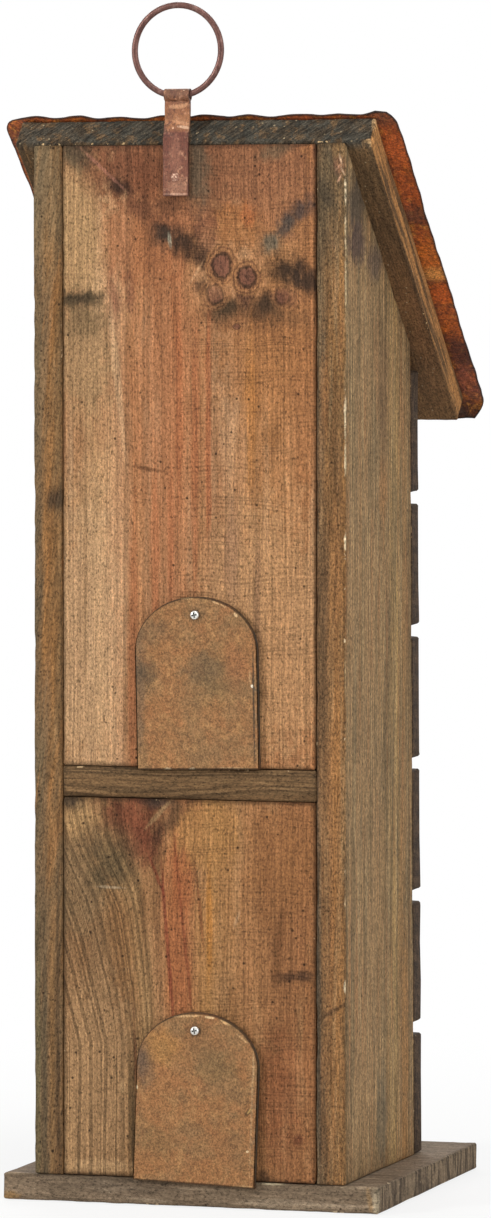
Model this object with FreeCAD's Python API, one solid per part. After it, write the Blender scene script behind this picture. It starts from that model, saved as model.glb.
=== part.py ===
import FreeCAD, Part
import math
import os
import random

# Two-storey decorative birdhouse of reclaimed boards, with a lean-to roof, a hammered
# metal roof sheet, a hanging ring in a folded strap, and two turning clean-out covers.
# Millimetres. Origin at the centre of the base board's underside, +Z up, the front with
# its planks towards -Y, the back with its covers towards +Y, +X to the viewer's right
# when the front is looked at.

# Base board
BASE_WIDTH = 182.0
BASE_DEPTH = 171.5
BASE_THICKNESS = 12.5

# House body; heights are measured from the top of the base board
HOUSE_WIDTH = 150.6
HOUSE_HEIGHT = 477.5
SIDE_THICKNESS = 14.0
SIDE_DEPTH_FOOT = 116.0
SIDE_DEPTH_EAVE = 108.0
ROOF_PITCH = 40.5
BACK_THICKNESS = 12.0
SHELF_TOP = 190.4
SHELF_THICKNESS = 14.3
BOARD_SEAM = 0.3
BOARD_WEAR = 0.7

# Front planks, lying on the leaning front edges of the side panels
PLANK_COUNT = 6
PLANK_THICKNESS = 14.0
PLANK_GAP = 5.7
PLANK_WEAR = 0.9
ENTRANCE_DIAMETER = 38.0
ENTRANCE_PLANKS = (2, 5)

# Roof board and the sheet that lies on it
ROOF_WIDTH = 170.8
ROOF_SHIFT = -1.3
ROOF_LENGTH = 199.0
ROOF_THICKNESS = 14.8
SHEET_THICKNESS = 0.8
SHEET_SIDE_LIP = 8.9
SHEET_REAR_LIP = 2.6
SHEET_FRONT_LIP = 10.5
SHEET_ROLL_RADIUS = 6.5
SHEET_CORNER_RADIUS = 9.0
SHEET_SEAT = 0.2
SHEET_DENT = 0.9
SHEET_DENT_SPACING = 17.0
SHEET_DENT_SEED = 5
SHEET_EDGE_WAVE = 0.8
SHEET_SIDE_WAVELENGTH = 82.0
SHEET_REAR_WAVE = 1.6
SHEET_REAR_WAVELENGTH = 107.0
SHEET_REAR_FADE = 20.0
SHEET_ROLL_ANGLES = (20, 40, 60, 80)

# Clean-out covers; each turns on one screw through the back
COVER_WIDTH = 58.8
COVER_HEIGHT = 79.5
COVER_ARCH_RISE = 25.0
COVER_THICKNESS = 3.0
COVER_CLEARANCE = 0.3
COVER_SCREW_DROP = 8.4
COVER_SCREW_X = -4.1
UPPER_SCREW_ABOVE_SHELF = 70.8
LOWER_SCREW_HEIGHT = 69.6
UPPER_SCREW_OFFSET = 0.0
LOWER_SCREW_OFFSET = 1.6
UPPER_COVER_TURN = 1.2
LOWER_COVER_TURN = -2.0
CLEANOUT_DIAMETER = 44.0
CLEANOUT_DROP = 34.5

# Cover screws
SCREW_HEAD_RADIUS = 2.15
SCREW_HEAD_HEIGHT = 1.5
SCREW_HEAD_CROWN = 0.75
SCREW_RADIUS = 1.3
SCREW_BITE = 9.0
SCREW_RUNNING_FIT = 0.08
SCREW_HEAD_CLEARANCE = 0.15
RECESS_WIDTH = 0.6
RECESS_SPAN = 2.4
RECESS_DEPTH = 0.8

# Hanging ring and its strap, a strip folded round the ring's wire
RING_RADIUS = 20.8
RING_WIRE_RADIUS = 1.5
RING_WIRE_SIDES = 10
RING_X = 5.7
EYE_HEIGHT = 22.2
EYE_SETBACK = 2.0
EYE_CLEARANCE = 0.12
STRAP_WIDTH = 12.2
STRAP_THICKNESS = 0.8
STRAP_FOOT = 24.2
STRAP_LOWER_BEND = 2.5
STRAP_UPPER_BEND = 11.0
STRAP_NAIL_DROP = 15.5
STRAP_SHOULDER = 37.0

# Brads, tacks and the nail that hold the boards, the sheet and the strap
NAIL_FIT = 0.05
BRAD_WIDTH = 1.25
BRAD_THICKNESS = 1.0
BRAD_LENGTH = 32.0
BRAD_SUNK = 0.3
FRONT_BRAD_INSET = 15.0
BASE_BRAD_INSET = 20.0
BASE_BRAD_COUNT = 3
TACK_SHANK = 2.0
TACK_HEAD_RADIUS = 2.8
TACK_HEAD = 0.6
TACK_LENGTH = 34.0
TACK_ROWS = (16.0, 70.0, 124.0)
STRAP_NAIL_RADIUS = 0.9
STRAP_NAIL_HEAD_RADIUS = 2.1
STRAP_NAIL_HEAD = 0.7
STRAP_NAIL_LENGTH = 11.0
STRAP_NAIL_CROWN = 0.5

# Cutting shapes reach this far past the faces they cut
OVERCUT = 1.0

# Places that follow from the sizes above
PITCH = math.radians(ROOF_PITCH)
BACK_Y = BASE_DEPTH / 2
FLOOR_Z = BASE_THICKNESS
TOP_Z = FLOOR_Z + HOUSE_HEIGHT
EAVE_HEIGHT = HOUSE_HEIGHT - SIDE_DEPTH_EAVE * math.tan(PITCH)
FRONT_LEAN = math.atan2(SIDE_DEPTH_FOOT - SIDE_DEPTH_EAVE, EAVE_HEIGHT)
SIDE_X = HOUSE_WIDTH / 2
INNER_X = SIDE_X - SIDE_THICKNESS
SHELF_TOP_Z = FLOOR_Z + SHELF_TOP
SHELF_BOTTOM_Z = SHELF_TOP_Z - SHELF_THICKNESS
UPPER_SCREW_HEIGHT = SHELF_TOP + UPPER_SCREW_ABOVE_SHELF
TACK_SEAT = ROOF_THICKNESS + SHEET_SEAT + SHEET_DENT + SHEET_THICKNESS

X_AXIS = FreeCAD.Vector(1, 0, 0)
Y_AXIS = FreeCAD.Vector(0, 1, 0)
Z_AXIS = FreeCAD.Vector(0, 0, 1)


def box(x0, x1, y0, y1, z0, z1):
    """A block between two corners."""
    return Part.makeBox(x1 - x0, y1 - y0, z1 - z0, FreeCAD.Vector(x0, y0, z0))


def board(x0, x1, outline):
    """A board with the given outline in Y and Z, from x0 to x1."""
    points = [FreeCAD.Vector(x0, y, z) for y, z in outline]
    face = Part.Face(Part.makePolygon(points + points[:1]))
    return face.extrude(FreeCAD.Vector(x1 - x0, 0, 0))


def worn(shape, width):
    """The board with every arris rubbed off."""
    return shape.makeChamfer(width, shape.Edges)


def pin(radius, length, start, axis):
    """A round pin or the hole for one."""
    return Part.makeCylinder(radius, length, start, axis)


def under_roof(depth):
    """Height above the base top of the roof board's underside, this far in from the back."""
    return HOUSE_HEIGHT - depth * math.tan(PITCH)


# The front's own frame: origin at the foot of the leaning edge, Z up along it, -Y outwards
FRONT = FreeCAD.Placement(
    FreeCAD.Vector(0, BACK_Y - SIDE_DEPTH_FOOT, FLOOR_Z),
    FreeCAD.Rotation(X_AXIS, -math.degrees(FRONT_LEAN)),
)

# The roof's own frame: origin at the board's lower rear edge, Y up the slope, Z off the board
ROOF = FreeCAD.Placement(
    FreeCAD.Vector(ROOF_SHIFT, BACK_Y, TOP_Z),
    FreeCAD.Rotation(X_AXIS, ROOF_PITCH),
)


def placed(shape, placement):
    """A copy of the shape, moved from its own frame to the house."""
    moved = shape.copy()
    moved.transformShape(placement.toMatrix())
    return moved


def plank_height():
    """Planks fill the front up to the roof, less the gaps between them."""
    lean_cos, lean_sin = math.cos(FRONT_LEAN), math.sin(FRONT_LEAN)
    outer_depth = SIDE_DEPTH_FOOT + PLANK_THICKNESS * lean_cos
    rise = lean_cos - lean_sin * math.tan(PITCH)
    reach = (under_roof(outer_depth) - PLANK_THICKNESS * lean_sin - BOARD_SEAM) / rise
    return (reach - (PLANK_COUNT - 1) * PLANK_GAP) / PLANK_COUNT


PLANK_HEIGHT = plank_height()


def plank_foot(number):
    """Distance up the front to the lower edge of a plank; number 1 is the top one."""
    return (PLANK_COUNT - number) * (PLANK_HEIGHT + PLANK_GAP)


def brad(fit=0.0, mouth=0.0):
    """A flat-sided brad driven along +Z from the origin, or with a fit and a mouth its hole."""
    half_x, half_y = BRAD_WIDTH / 2 + fit, BRAD_THICKNESS / 2 + fit
    return box(-half_x, half_x, -half_y, half_y, -mouth, BRAD_LENGTH + fit)


def brads_at(places, direction, fit=0.0, mouth=0.0):
    """Brads, or their holes, at several places, all driven in one direction."""
    turn = FreeCAD.Rotation(Z_AXIS, direction)
    one = brad(fit, mouth)
    return Part.makeCompound([placed(one, FreeCAD.Placement(place, turn)) for place in places])


def front_brads(fit=0.0, mouth=0.0):
    """Two brads through each end of each plank into the middle of the side panel's edge."""
    across = SIDE_X - SIDE_THICKNESS / 2
    places = []
    for number in range(1, PLANK_COUNT + 1):
        for side in (-1, 1):
            for up in (FRONT_BRAD_INSET, PLANK_HEIGHT - FRONT_BRAD_INSET):
                head_y = BRAD_SUNK - PLANK_THICKNESS
                places.append(FreeCAD.Vector(side * across, head_y, plank_foot(number) + up))
    return placed(brads_at(places, Y_AXIS, fit, mouth), FRONT)


def base_brads(fit=0.0, mouth=0.0):
    """A row of brads up through the base board into the foot of each side panel."""
    across = SIDE_X - SIDE_THICKNESS / 2
    first, last = BACK_Y - SIDE_DEPTH_FOOT + BASE_BRAD_INSET, BACK_Y - BASE_BRAD_INSET
    step = (last - first) / (BASE_BRAD_COUNT - 1)
    places = []
    for side in (-1, 1):
        for count in range(BASE_BRAD_COUNT):
            places.append(FreeCAD.Vector(side * across, first + count * step, BRAD_SUNK))
    return brads_at(places, Z_AXIS, fit, mouth)


def tack_places():
    """Roof tacks stand over the middle of each side panel, in rows down the slope."""
    for row in TACK_ROWS:
        for side in (-1, 1):
            yield side * (SIDE_X - SIDE_THICKNESS / 2) - ROOF_SHIFT, row


def tack_shank(x, row, fit=0.0):
    """A cut tack's square shank, down from under its head, or with a fit its hole."""
    half = TACK_SHANK / 2 + fit
    return box(x - half, x + half, -row - half, -row + half, TACK_SEAT - TACK_LENGTH - fit, TACK_SEAT)


def tack_holes():
    """The roof tacks' holes, through the sheet and the board into the side panels."""
    holes = [tack_shank(x, row, NAIL_FIT) for x, row in tack_places()]
    return placed(Part.makeCompound(holes), ROOF)


def make_base():
    slab = worn(box(-BASE_WIDTH / 2, BASE_WIDTH / 2, -BACK_Y, BACK_Y, 0, BASE_THICKNESS), BOARD_WEAR)
    return slab.cut(base_brads(NAIL_FIT, OVERCUT))


def make_side(side):
    """A side panel: its top follows the roof and its front edge leans back a little."""
    outline = [
        (BACK_Y, FLOOR_Z),
        (BACK_Y, TOP_Z),
        (BACK_Y - SIDE_DEPTH_EAVE, FLOOR_Z + EAVE_HEIGHT),
        (BACK_Y - SIDE_DEPTH_FOOT, FLOOR_Z),
    ]
    x0, x1 = sorted((side * INNER_X, side * SIDE_X))
    panel = worn(board(x0, x1, outline), BOARD_WEAR)
    return panel.cut([front_brads(NAIL_FIT), tack_holes(), base_brads(NAIL_FIT)])


def cover_screw_bore(height, radius):
    """The hole of a cover's screw in the back."""
    start = FreeCAD.Vector(COVER_SCREW_X, BACK_Y + OVERCUT, FLOOR_Z + height)
    return pin(radius, SCREW_BITE + OVERCUT, start, -Y_AXIS)


def cleanout_hole(screw_height):
    """The round clean-out hole that a cover hides."""
    start = FreeCAD.Vector(COVER_SCREW_X, BACK_Y + OVERCUT, FLOOR_Z + screw_height - CLEANOUT_DROP)
    return pin(CLEANOUT_DIAMETER / 2, BACK_THICKNESS + 2 * OVERCUT, start, -Y_AXIS)


def make_back(bottom, top_outer, top_inner, screw_height):
    """A back panel between the side panels, with its clean-out hole and screw hole."""
    half = INNER_X - BOARD_SEAM
    inner_y = BACK_Y - BACK_THICKNESS
    outline = [(BACK_Y, bottom), (BACK_Y, top_outer), (inner_y, top_inner), (inner_y, bottom)]
    panel = worn(board(-half, half, outline), BOARD_WEAR)
    return panel.cut([cleanout_hole(screw_height), cover_screw_bore(screw_height, SCREW_RADIUS + NAIL_FIT)])


def make_back_upper():
    top = under_roof(0) - BOARD_SEAM
    inner_top = under_roof(BACK_THICKNESS) - BOARD_SEAM
    panel = make_back(SHELF_TOP_Z + BOARD_SEAM, FLOOR_Z + top, FLOOR_Z + inner_top, UPPER_SCREW_HEIGHT)
    start = FreeCAD.Vector(RING_X, BACK_Y + OVERCUT, TOP_Z - STRAP_NAIL_DROP)
    depth = STRAP_NAIL_LENGTH - 2 * STRAP_THICKNESS + NAIL_FIT
    return panel.cut(pin(STRAP_NAIL_RADIUS + NAIL_FIT, depth + OVERCUT, start, -Y_AXIS))


def make_back_lower():
    top = SHELF_BOTTOM_Z - BOARD_SEAM
    return make_back(FLOOR_Z + BOARD_SEAM, top, top, LOWER_SCREW_HEIGHT)


def make_shelf():
    """The divider between the storeys; its rear edge shows in the back."""
    depth = SIDE_DEPTH_FOOT - SHELF_TOP * math.tan(FRONT_LEAN) - BOARD_SEAM
    shelf = box(-INNER_X, INNER_X, BACK_Y - depth, BACK_Y, SHELF_BOTTOM_Z, SHELF_TOP_Z)
    return worn(shelf, BOARD_WEAR)


def make_plank(number):
    """A front plank, bored where a bird goes in."""
    foot = plank_foot(number)
    plank = worn(box(-SIDE_X, SIDE_X, -PLANK_THICKNESS, 0, foot, foot + PLANK_HEIGHT), PLANK_WEAR)
    if number in ENTRANCE_PLANKS:
        start = FreeCAD.Vector(0, OVERCUT, foot + PLANK_HEIGHT / 2)
        plank = plank.cut(pin(ENTRANCE_DIAMETER / 2, PLANK_THICKNESS + 2 * OVERCUT, start, -Y_AXIS))
    return placed(plank, FRONT).cut(front_brads(NAIL_FIT, OVERCUT))


def make_roof_board():
    slab = box(-ROOF_WIDTH / 2, ROOF_WIDTH / 2, -ROOF_LENGTH, 0, 0, ROOF_THICKNESS)
    return placed(worn(slab, BOARD_WEAR), ROOF).cut(tack_holes())


def sheet_stations(flat):
    """Distances from the sheet's rear edge at which it is dented: down the flat, then round the roll."""
    rows = round(flat / SHEET_DENT_SPACING)
    stations = [flat * row / rows for row in range(rows + 1)]
    return stations + [flat + SHEET_ROLL_RADIUS * math.radians(angle) for angle in SHEET_ROLL_ANGLES]


def sheet_point(across, travelled, flat, dent, skin):
    """A corner of the dented sheet: across runs from -1 to 1, skin is its height over the underside."""
    bend = max(0.0, travelled - flat) / SHEET_ROLL_RADIUS
    side_wave = math.sin(math.tau * travelled / SHEET_SIDE_WAVELENGTH + across)
    x = across * (ROOF_WIDTH / 2 + SHEET_SIDE_LIP) + across * abs(across) * SHEET_EDGE_WAVE * side_wave
    rear_wave = math.sin(math.tau * x / SHEET_REAR_WAVELENGTH) * max(0.0, 1 - travelled / SHEET_REAR_FADE)
    y = SHEET_REAR_LIP - min(travelled, flat) - SHEET_REAR_WAVE * rear_wave
    radius = SHEET_ROLL_RADIUS + skin
    z = ROOF_THICKNESS + SHEET_SEAT + dent - SHEET_ROLL_RADIUS
    return FreeCAD.Vector(x, y - radius * math.sin(bend), z + radius * math.cos(bend))


def patch(near, far):
    """The two flat facets between a near pair of corners and a far pair."""
    a, b = near
    d, c = far
    return [Part.Face(Part.makePolygon([a, b, c, a])), Part.Face(Part.makePolygon([a, c, d, a]))]


def make_roof_sheet():
    """A thin sheet hammered into shallow facets, its corners round and its front edge rolled down."""
    flat = SHEET_REAR_LIP + ROOF_LENGTH + SHEET_FRONT_LIP - SHEET_ROLL_RADIUS - SHEET_THICKNESS
    stations = sheet_stations(flat)
    columns = round((ROOF_WIDTH + 2 * SHEET_SIDE_LIP) / SHEET_DENT_SPACING)
    hammer = random.Random(SHEET_DENT_SEED)
    under, over = [], []
    for travelled in stations:
        dented = [(2 * count / columns - 1, SHEET_DENT * hammer.random()) for count in range(columns + 1)]
        under.append([sheet_point(across, travelled, flat, dent, 0) for across, dent in dented])
        over.append([sheet_point(across, travelled, flat, dent, SHEET_THICKNESS) for across, dent in dented])
    facets = []
    for near, far in zip(under[:-1] + over[:-1], under[1:] + over[1:]):
        for count in range(columns):
            facets += patch(near[count:count + 2], far[count:count + 2])
    for row in (0, -1):
        for count in range(columns):
            facets += patch(under[row][count:count + 2], over[row][count:count + 2])
    for column in (0, -1):
        low, high = [row[column] for row in under], [row[column] for row in over]
        for count in range(len(stations) - 1):
            facets += patch(low[count:count + 2], high[count:count + 2])
    sheet = Part.Solid(Part.Shell(facets))
    half = ROOF_WIDTH / 2 + SHEET_SIDE_LIP + SHEET_EDGE_WAVE
    front = ROOF_LENGTH + SHEET_FRONT_LIP
    blank = box(-half, half, -front, SHEET_REAR_LIP + SHEET_EDGE_WAVE, 0, 2 * ROOF_THICKNESS)
    upright = [edge for edge in blank.Edges if abs(edge.tangentAt(edge.FirstParameter).z) > 0.5]
    sheet = sheet.common(blank.makeFillet(SHEET_CORNER_RADIUS, upright))
    return placed(sheet, ROOF).cut(tack_holes())


def make_roof_tacks():
    """Cut tacks with round heads, through the sheet and the board into the side panels."""
    tacks = []
    for x, row in tack_places():
        head = pin(TACK_HEAD_RADIUS, TACK_HEAD, FreeCAD.Vector(x, -row, TACK_SEAT), Z_AXIS)
        tacks.append(head.fuse(tack_shank(x, row)))
    return placed(Part.makeCompound(tacks), ROOF)


def cover_outline():
    """The cover's face: straight sides and foot, and an arched top; its screw is at the origin."""
    half = COVER_WIDTH / 2
    top = COVER_SCREW_DROP
    spring = top - COVER_ARCH_RISE
    foot = top - COVER_HEIGHT
    arch = Part.Ellipse(FreeCAD.Vector(0, 0, 0), half, COVER_ARCH_RISE)
    curve = Part.Arc(arch, 0, math.pi).toShape()
    curve.rotate(FreeCAD.Vector(0, 0, 0), X_AXIS, 90)
    curve.translate(FreeCAD.Vector(0, 0, spring))
    left, right = FreeCAD.Vector(-half, 0, spring), FreeCAD.Vector(half, 0, spring)
    low_left, low_right = FreeCAD.Vector(-half, 0, foot), FreeCAD.Vector(half, 0, foot)
    corners = [left, low_left, low_right, right]
    sides = [Part.makeLine(start, end) for start, end in zip(corners, corners[1:])]
    return Part.Wire(Part.__sortEdges__([curve] + sides))


def make_cover(screw_height, screw_offset, turn):
    """A thin arched cover, hung a little askew on its screw."""
    plate = Part.Face(cover_outline()).extrude(FreeCAD.Vector(0, COVER_THICKNESS, 0))
    plate.translate(FreeCAD.Vector(-screw_offset, 0, 0))
    bore_start = FreeCAD.Vector(0, -OVERCUT, 0)
    bore = pin(SCREW_RADIUS + SCREW_RUNNING_FIT, COVER_THICKNESS + 2 * OVERCUT, bore_start, Y_AXIS)
    plate = plate.cut(bore)
    plate.rotate(FreeCAD.Vector(0, 0, 0), Y_AXIS, turn)
    plate.translate(FreeCAD.Vector(COVER_SCREW_X, BACK_Y + COVER_CLEARANCE, FLOOR_Z + screw_height))
    return plate


def crowned_head(radius, height, start, crown):
    """A round head facing +Y, its outer rim taken off."""
    head = pin(radius, height, start, Y_AXIS)
    rim = [edge for edge in head.Edges if edge.CenterOfMass.y > start.y + 0.9 * height]
    return head.makeChamfer(crown, rim)


def make_cover_screw(screw_height):
    """A pan-head screw with a cross recess; the cover turns on its plain neck."""
    under_head = COVER_CLEARANCE + COVER_THICKNESS + SCREW_HEAD_CLEARANCE
    head_start = FreeCAD.Vector(0, under_head, 0)
    head = crowned_head(SCREW_HEAD_RADIUS, SCREW_HEAD_HEIGHT, head_start, SCREW_HEAD_CROWN)
    top = under_head + SCREW_HEAD_HEIGHT
    half, span = RECESS_WIDTH / 2, RECESS_SPAN / 2
    cross = box(-half, half, top - RECESS_DEPTH, top + OVERCUT, -span, span)
    cross = cross.fuse(box(-span, span, top - RECESS_DEPTH, top + OVERCUT, -half, half))
    shank = pin(SCREW_RADIUS, SCREW_BITE - NAIL_FIT + under_head, head_start, -Y_AXIS)
    screw = head.cut(cross).fuse(shank)
    screw.translate(FreeCAD.Vector(COVER_SCREW_X, BACK_Y, FLOOR_Z + screw_height))
    return screw


def ring_sagitta():
    """How far the ring's wire bows over the width of the strap."""
    return RING_RADIUS - math.sqrt(RING_RADIUS ** 2 - (STRAP_WIDTH / 2) ** 2)


EYE_RADIUS = RING_WIRE_RADIUS + ring_sagitta() / 2 + EYE_CLEARANCE


def make_ring():
    """The ring of many-sided wire, upright in the eye and bowed evenly about the eye's axis."""
    centre = FreeCAD.Vector(
        RING_X,
        BACK_Y - EYE_SETBACK,
        TOP_Z + EYE_HEIGHT - ring_sagitta() / 2 + RING_RADIUS,
    )
    corners = []
    for step in range(RING_WIRE_SIDES):
        turn = 2 * math.pi * (step + 0.5) / RING_WIRE_SIDES
        out = RING_RADIUS + RING_WIRE_RADIUS * math.cos(turn)
        corners.append(centre + FreeCAD.Vector(out, RING_WIRE_RADIUS * math.sin(turn), 0))
    section = Part.Face(Part.makePolygon(corners + corners[:1]))
    return section.revolve(centre, Y_AXIS, 360)


def strap_leg(offset):
    """One face line of the flattened strap, from foot to eye, this far behind the back plane."""
    start = FreeCAD.Vector(0, offset, -STRAP_FOOT)
    lower = FreeCAD.Vector(0, offset, STRAP_LOWER_BEND)
    upper = FreeCAD.Vector(0, offset - EYE_SETBACK - STRAP_THICKNESS, STRAP_UPPER_BEND)
    return [start, lower, upper]


def make_strap():
    """A strip folded round the ring, both legs pressed together and stepped over the roof's edge."""
    double = 2 * STRAP_THICKNESS
    rear = strap_leg(double)
    front = strap_leg(0)
    neck = EYE_HEIGHT - EYE_RADIUS - STRAP_THICKNESS
    rear.append(FreeCAD.Vector(0, rear[-1].y, neck))
    front.append(FreeCAD.Vector(0, front[-1].y, neck))
    legs = Part.Face(Part.makePolygon(rear + front[::-1] + rear[:1]))
    legs = legs.extrude(FreeCAD.Vector(STRAP_WIDTH, 0, 0))
    eye_centre = FreeCAD.Vector(0, -EYE_SETBACK, EYE_HEIGHT)
    outer = EYE_RADIUS + STRAP_THICKNESS
    fold = pin(outer, STRAP_WIDTH, eye_centre, X_AXIS)
    shoulder_out = outer * math.cos(math.radians(STRAP_SHOULDER))
    shoulder_z = EYE_HEIGHT - outer * math.sin(math.radians(STRAP_SHOULDER))
    throat = [
        FreeCAD.Vector(0, rear[-1].y, neck),
        FreeCAD.Vector(0, -EYE_SETBACK + shoulder_out, shoulder_z),
        FreeCAD.Vector(0, -EYE_SETBACK - shoulder_out, shoulder_z),
        FreeCAD.Vector(0, front[-1].y, neck),
    ]
    cheeks = Part.Face(Part.makePolygon(throat + throat[:1])).extrude(FreeCAD.Vector(STRAP_WIDTH, 0, 0))
    eye = pin(EYE_RADIUS, STRAP_WIDTH + 2 * OVERCUT, eye_centre - OVERCUT * X_AXIS, X_AXIS)
    strap = legs.fuse([fold, cheeks]).removeSplitter().cut(eye)
    strap.translate(FreeCAD.Vector(RING_X - STRAP_WIDTH / 2, BACK_Y, TOP_Z))
    nail_start = FreeCAD.Vector(RING_X, BACK_Y - OVERCUT, TOP_Z - STRAP_NAIL_DROP)
    return strap.cut(pin(STRAP_NAIL_RADIUS + NAIL_FIT, double + 2 * OVERCUT, nail_start, Y_AXIS))


def make_strap_nail():
    """A domed nail through both legs of the strap."""
    start = FreeCAD.Vector(RING_X, BACK_Y + 2 * STRAP_THICKNESS, TOP_Z - STRAP_NAIL_DROP)
    head = crowned_head(STRAP_NAIL_HEAD_RADIUS, STRAP_NAIL_HEAD, start, STRAP_NAIL_CROWN)
    return head.fuse(pin(STRAP_NAIL_RADIUS, STRAP_NAIL_LENGTH, start, -Y_AXIS))


def make_all():
    """Every piece by its name."""
    pieces = {
        "base_board": make_base(),
        "side_panel_left": make_side(-1),
        "side_panel_right": make_side(1),
        "back_panel_upper": make_back_upper(),
        "back_panel_lower": make_back_lower(),
        "divider_shelf": make_shelf(),
        "roof_board": make_roof_board(),
        "roof_sheet": make_roof_sheet(),
        "hanging_strap": make_strap(),
        "strap_nail": make_strap_nail(),
        "hanging_ring": make_ring(),
        "cleanout_cover_upper": make_cover(UPPER_SCREW_HEIGHT, UPPER_SCREW_OFFSET, UPPER_COVER_TURN),
        "cleanout_cover_lower": make_cover(LOWER_SCREW_HEIGHT, LOWER_SCREW_OFFSET, LOWER_COVER_TURN),
        "cleanout_screw_upper": make_cover_screw(UPPER_SCREW_HEIGHT),
        "cleanout_screw_lower": make_cover_screw(LOWER_SCREW_HEIGHT),
        "front_brads": front_brads(),
        "base_brads": base_brads(),
        "roof_tacks": make_roof_tacks(),
    }
    for number in range(1, PLANK_COUNT + 1):
        pieces[f"front_plank_{number}"] = make_plank(number)
    return pieces


os.makedirs("parts", exist_ok=True)
for name, shape in make_all().items():
    shape.exportStep(f"parts/{name}.step")
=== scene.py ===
from functools import partial, reduce
from math import cos, hypot, pi, radians, sin, sqrt, tau

import bmesh
import bpy
from mathutils import Matrix, Vector, noise


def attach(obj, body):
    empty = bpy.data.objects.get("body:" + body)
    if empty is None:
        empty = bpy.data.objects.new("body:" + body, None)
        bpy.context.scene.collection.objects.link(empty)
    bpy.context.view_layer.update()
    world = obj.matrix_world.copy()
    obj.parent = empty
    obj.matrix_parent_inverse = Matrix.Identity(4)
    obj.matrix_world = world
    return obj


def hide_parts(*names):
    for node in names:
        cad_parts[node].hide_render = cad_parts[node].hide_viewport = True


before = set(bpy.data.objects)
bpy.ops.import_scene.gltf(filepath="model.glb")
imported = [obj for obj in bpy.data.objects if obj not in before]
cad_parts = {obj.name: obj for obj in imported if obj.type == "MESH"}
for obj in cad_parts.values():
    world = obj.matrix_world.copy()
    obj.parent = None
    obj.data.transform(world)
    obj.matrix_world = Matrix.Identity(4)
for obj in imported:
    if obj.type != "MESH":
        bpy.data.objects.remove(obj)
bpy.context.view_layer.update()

# Decorative birdhouse of reclaimed boards, seen from behind. Metres, +Z up, the back towards +Y.
MM = 0.001
X, Y, Z = 0, 1, 2

# Driving places in millimetres and radians
ROOF_PITCH = radians(40.5)
FRONT_LEAN = radians(1.19)
BACK_FACE = 85.75
ROOF_LINE = 490.0
HOUSE_HALF = 75.3
ROOF_MIDDLE = -1.3
COVER_SCREW_X = -4.1
UPPER_SCREW = 273.7
LOWER_SCREW = 82.1
HANGER_X = 5.7

# The roof's own frame: -Y down the slope, +Z off the board
ON_ROOF = Matrix.Translation((ROOF_MIDDLE, BACK_FACE, ROOF_LINE)) @ Matrix.Rotation(ROOF_PITCH, 4, "X")
ROOF_REAR = BACK_FACE * cos(ROOF_PITCH) + ROOF_LINE * sin(ROOF_PITCH)
ROOF_UNDER = ROOF_LINE * cos(ROOF_PITCH) - BACK_FACE * sin(ROOF_PITCH)


def linear(hex_colour):
    """An sRGB hex colour as linear red, green, blue and alpha."""
    parts = [int(hex_colour[i:i + 2], 16) / 255 for i in (1, 3, 5)]
    return [c / 12.92 if c <= 0.04045 else ((c + 0.055) / 1.055) ** 2.4 for c in parts] + [1.0]


def add(tree, kind, settings=None, out=None, **inputs):
    """Adds a node, its inputs filled by name; a list fills several of one name."""
    made = tree.nodes.new(kind)
    for name, value in (settings or {}).items():
        if name == "stops":
            ramp = made.color_ramp
            while len(ramp.elements) < len(value):
                ramp.elements.new(1.0)
            for element, (position, colour) in zip(ramp.elements, value):
                element.position = position
                element.color = linear(colour)
        else:
            setattr(made, name, value)
    for name, value in inputs.items():
        sockets = [s for s in made.inputs if s.enabled and s.name == name.replace("_", " ")]
        for socket, item in zip(sockets, value if isinstance(value, list) else [value]):
            if isinstance(item, bpy.types.NodeSocket):
                tree.links.new(item, socket)
            else:
                socket.default_value = linear(item) if isinstance(item, str) else item
    if out:
        return made.outputs[out]
    return next((s for s in made.outputs if s.enabled), made)


NOISE = "ShaderNodeTexNoise"
RAMP = "ShaderNodeValToRGB"
PARTS = "ShaderNodeSeparateXYZ"
INTO = ("ShaderNodeMapping", {"vector_type": "TEXTURE"})
MIX = ("ShaderNodeMix", {"data_type": "RGBA"})
DARKEN = ("ShaderNodeMix", {"data_type": "RGBA", "blend_type": "MULTIPLY"})
MATH = "ShaderNodeMath"
VECTOR = "ShaderNodeVectorMath"
TIMES = (MATH, {"operation": "MULTIPLY"})
PLUS = (MATH, {"operation": "ADD"})
LESS = (MATH, {"operation": "SUBTRACT"})
SMOOTH = ("ShaderNodeMapRange", {"interpolation_type": "SMOOTHSTEP"})
RANGE = "ShaderNodeMapRange"
VECTOR_PLUS = (VECTOR, {"operation": "ADD"})
VECTOR_LESS = (VECTOR, {"operation": "SUBTRACT"})
VECTOR_TIMES = (VECTOR, {"operation": "MULTIPLY"})
SCALE = (VECTOR, {"operation": "SCALE"})
LENGTH = (VECTOR, {"operation": "LENGTH"}, "Value")
DOT = (VECTOR, {"operation": "DOT_PRODUCT"}, "Value")


# Finishes: what they all share

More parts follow.
